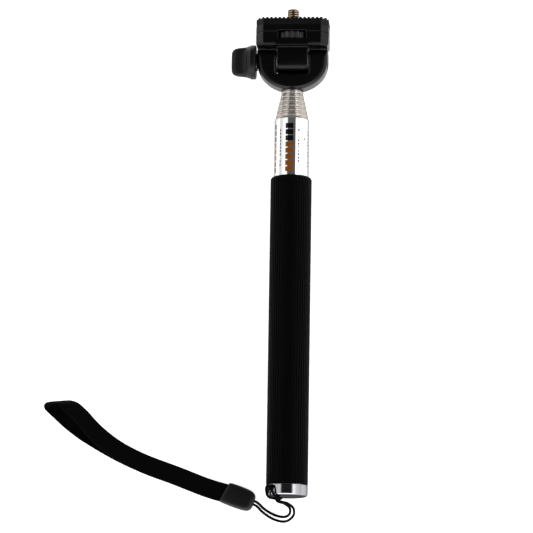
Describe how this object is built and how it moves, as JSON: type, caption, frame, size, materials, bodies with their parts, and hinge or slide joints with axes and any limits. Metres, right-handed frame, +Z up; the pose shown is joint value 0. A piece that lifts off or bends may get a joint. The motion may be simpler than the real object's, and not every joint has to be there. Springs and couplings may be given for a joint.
{
  "type": "telescopic camera pole",
  "caption": "Collapsed telescopic camera pole with a ribbed grip, nested steel tubes, a tilting platform with a screw and thumb wheel, a clamp knob and a wrist strap.",
  "frame": {"origin": "centre of the butt face of the handle's end cap", "axes": "+Y along the pole towards the camera, +X to the right of the pole (the clamp knob is on -X), +Z up from the surface it lies on towards the viewer"},
  "size_m": [0.1451, 0.2782, 0.0225],
  "materials": {
    "polished_steel": "polished stainless steel",
    "aluminium": "satin",
    "brass": "turned",
    "black_steel": "blackened steel",
    "black_plastic": "satin, fine grain",
    "knob_plastic": "matt, fine grain",
    "rubber": "matt",
    "nylon": "natural",
    "webbing": "flat woven"
  },
  "bodies": {
    "handle": {"outer_tube": "polished_steel", "grip_sleeve": "rubber", "end_cap": "aluminium", "tube_plug": "nylon", "strap_cap": "black_plastic", "strap_webbing": "webbing", "strap_cord": "webbing"},
    "section_2": {"tube_2": "polished_steel", "collar_2": "nylon"},
    "section_3": {"tube_3": "polished_steel", "collar_3": "nylon"},
    "section_4": {"tube_4": "polished_steel", "collar_4": "nylon"},
    "section_5": {"tube_5": "polished_steel", "collar_5": "nylon"},
    "section_6": {"tube_6": "polished_steel", "collar_6": "nylon"},
    "rod_slider": {"collar_7": "nylon"},
    "head": {"top_rod": "polished_steel", "rod_stop": "brass", "rod_insert": "brass", "head_screw": "black_steel", "fork": "black_plastic", "friction_disc_left": "nylon", "friction_disc_right": "nylon", "clamp_nut": "black_steel"},
    "knob_washer_body": {"knob_washer": "black_steel"},
    "knob_body": {"knob": "knob_plastic", "clamp_bolt": "black_steel"},
    "platform": {"platform_body": "black_plastic", "platform_cover": "black_plastic", "rubber_pad": "rubber", "cover_screw_1": "black_steel", "cover_screw_2": "black_steel", "cover_screw_3": "black_steel", "cover_screw_4": "black_steel"},
    "wheel_body": {"thumb_wheel": "knob_plastic", "camera_screw": "brass"}
  },
  "joints": [
    {"name": "slide_2", "type": "slide", "parent": "handle", "child": "section_2", "axis": [0, 1, 0], "range_m": [0, 0.144]},
    {"name": "slide_3", "type": "slide", "parent": "section_2", "child": "section_3", "axis": [0, 1, 0], "range_m": [0, 0.144]},
    {"name": "slide_4", "type": "slide", "parent": "section_3", "child": "section_4", "axis": [0, 1, 0], "range_m": [0, 0.144]},
    {"name": "slide_5", "type": "slide", "parent": "section_4", "child": "section_5", "axis": [0, 1, 0], "range_m": [0, 0.144]},
    {"name": "slide_6", "type": "slide", "parent": "section_5", "child": "section_6", "axis": [0, 1, 0], "range_m": [0, 0.144]},
    {"name": "slide_7", "type": "slide", "parent": "section_6", "child": "rod_slider", "axis": [0, 1, 0], "range_m": [0, 0.144]},
    {"name": "pan", "type": "hinge", "parent": "rod_slider", "child": "head", "pos_m": [0, 0.2, 0], "axis": [0, 1, 0], "continuous": true},
    {"name": "tilt", "type": "hinge", "parent": "head", "child": "platform", "pos_m": [0, 0.2362, 0], "axis": [1, 0, 0], "range_deg": [-90, 90]},
    {"name": "wheel_spin", "type": "hinge", "parent": "platform", "child": "wheel_body", "pos_m": [0, 0.2492, 0], "axis": [0, 1, 0], "continuous": true},
    {"name": "knob_travel", "type": "slide", "parent": "head", "child": "knob_washer_body", "axis": [-1, 0, 0], "range_m": [0, 0.0008]},
    {"name": "knob_turn", "type": "hinge", "parent": "knob_washer_body", "child": "knob_body", "pos_m": [-0.02, 0.2362, 0], "axis": [-1, 0, 0], "range_deg": [0, 360]}
  ],
  "couplings": [
    {"joint": "knob_travel", "follows": "knob_turn", "m_per_rad": 0.000127}
  ]
}
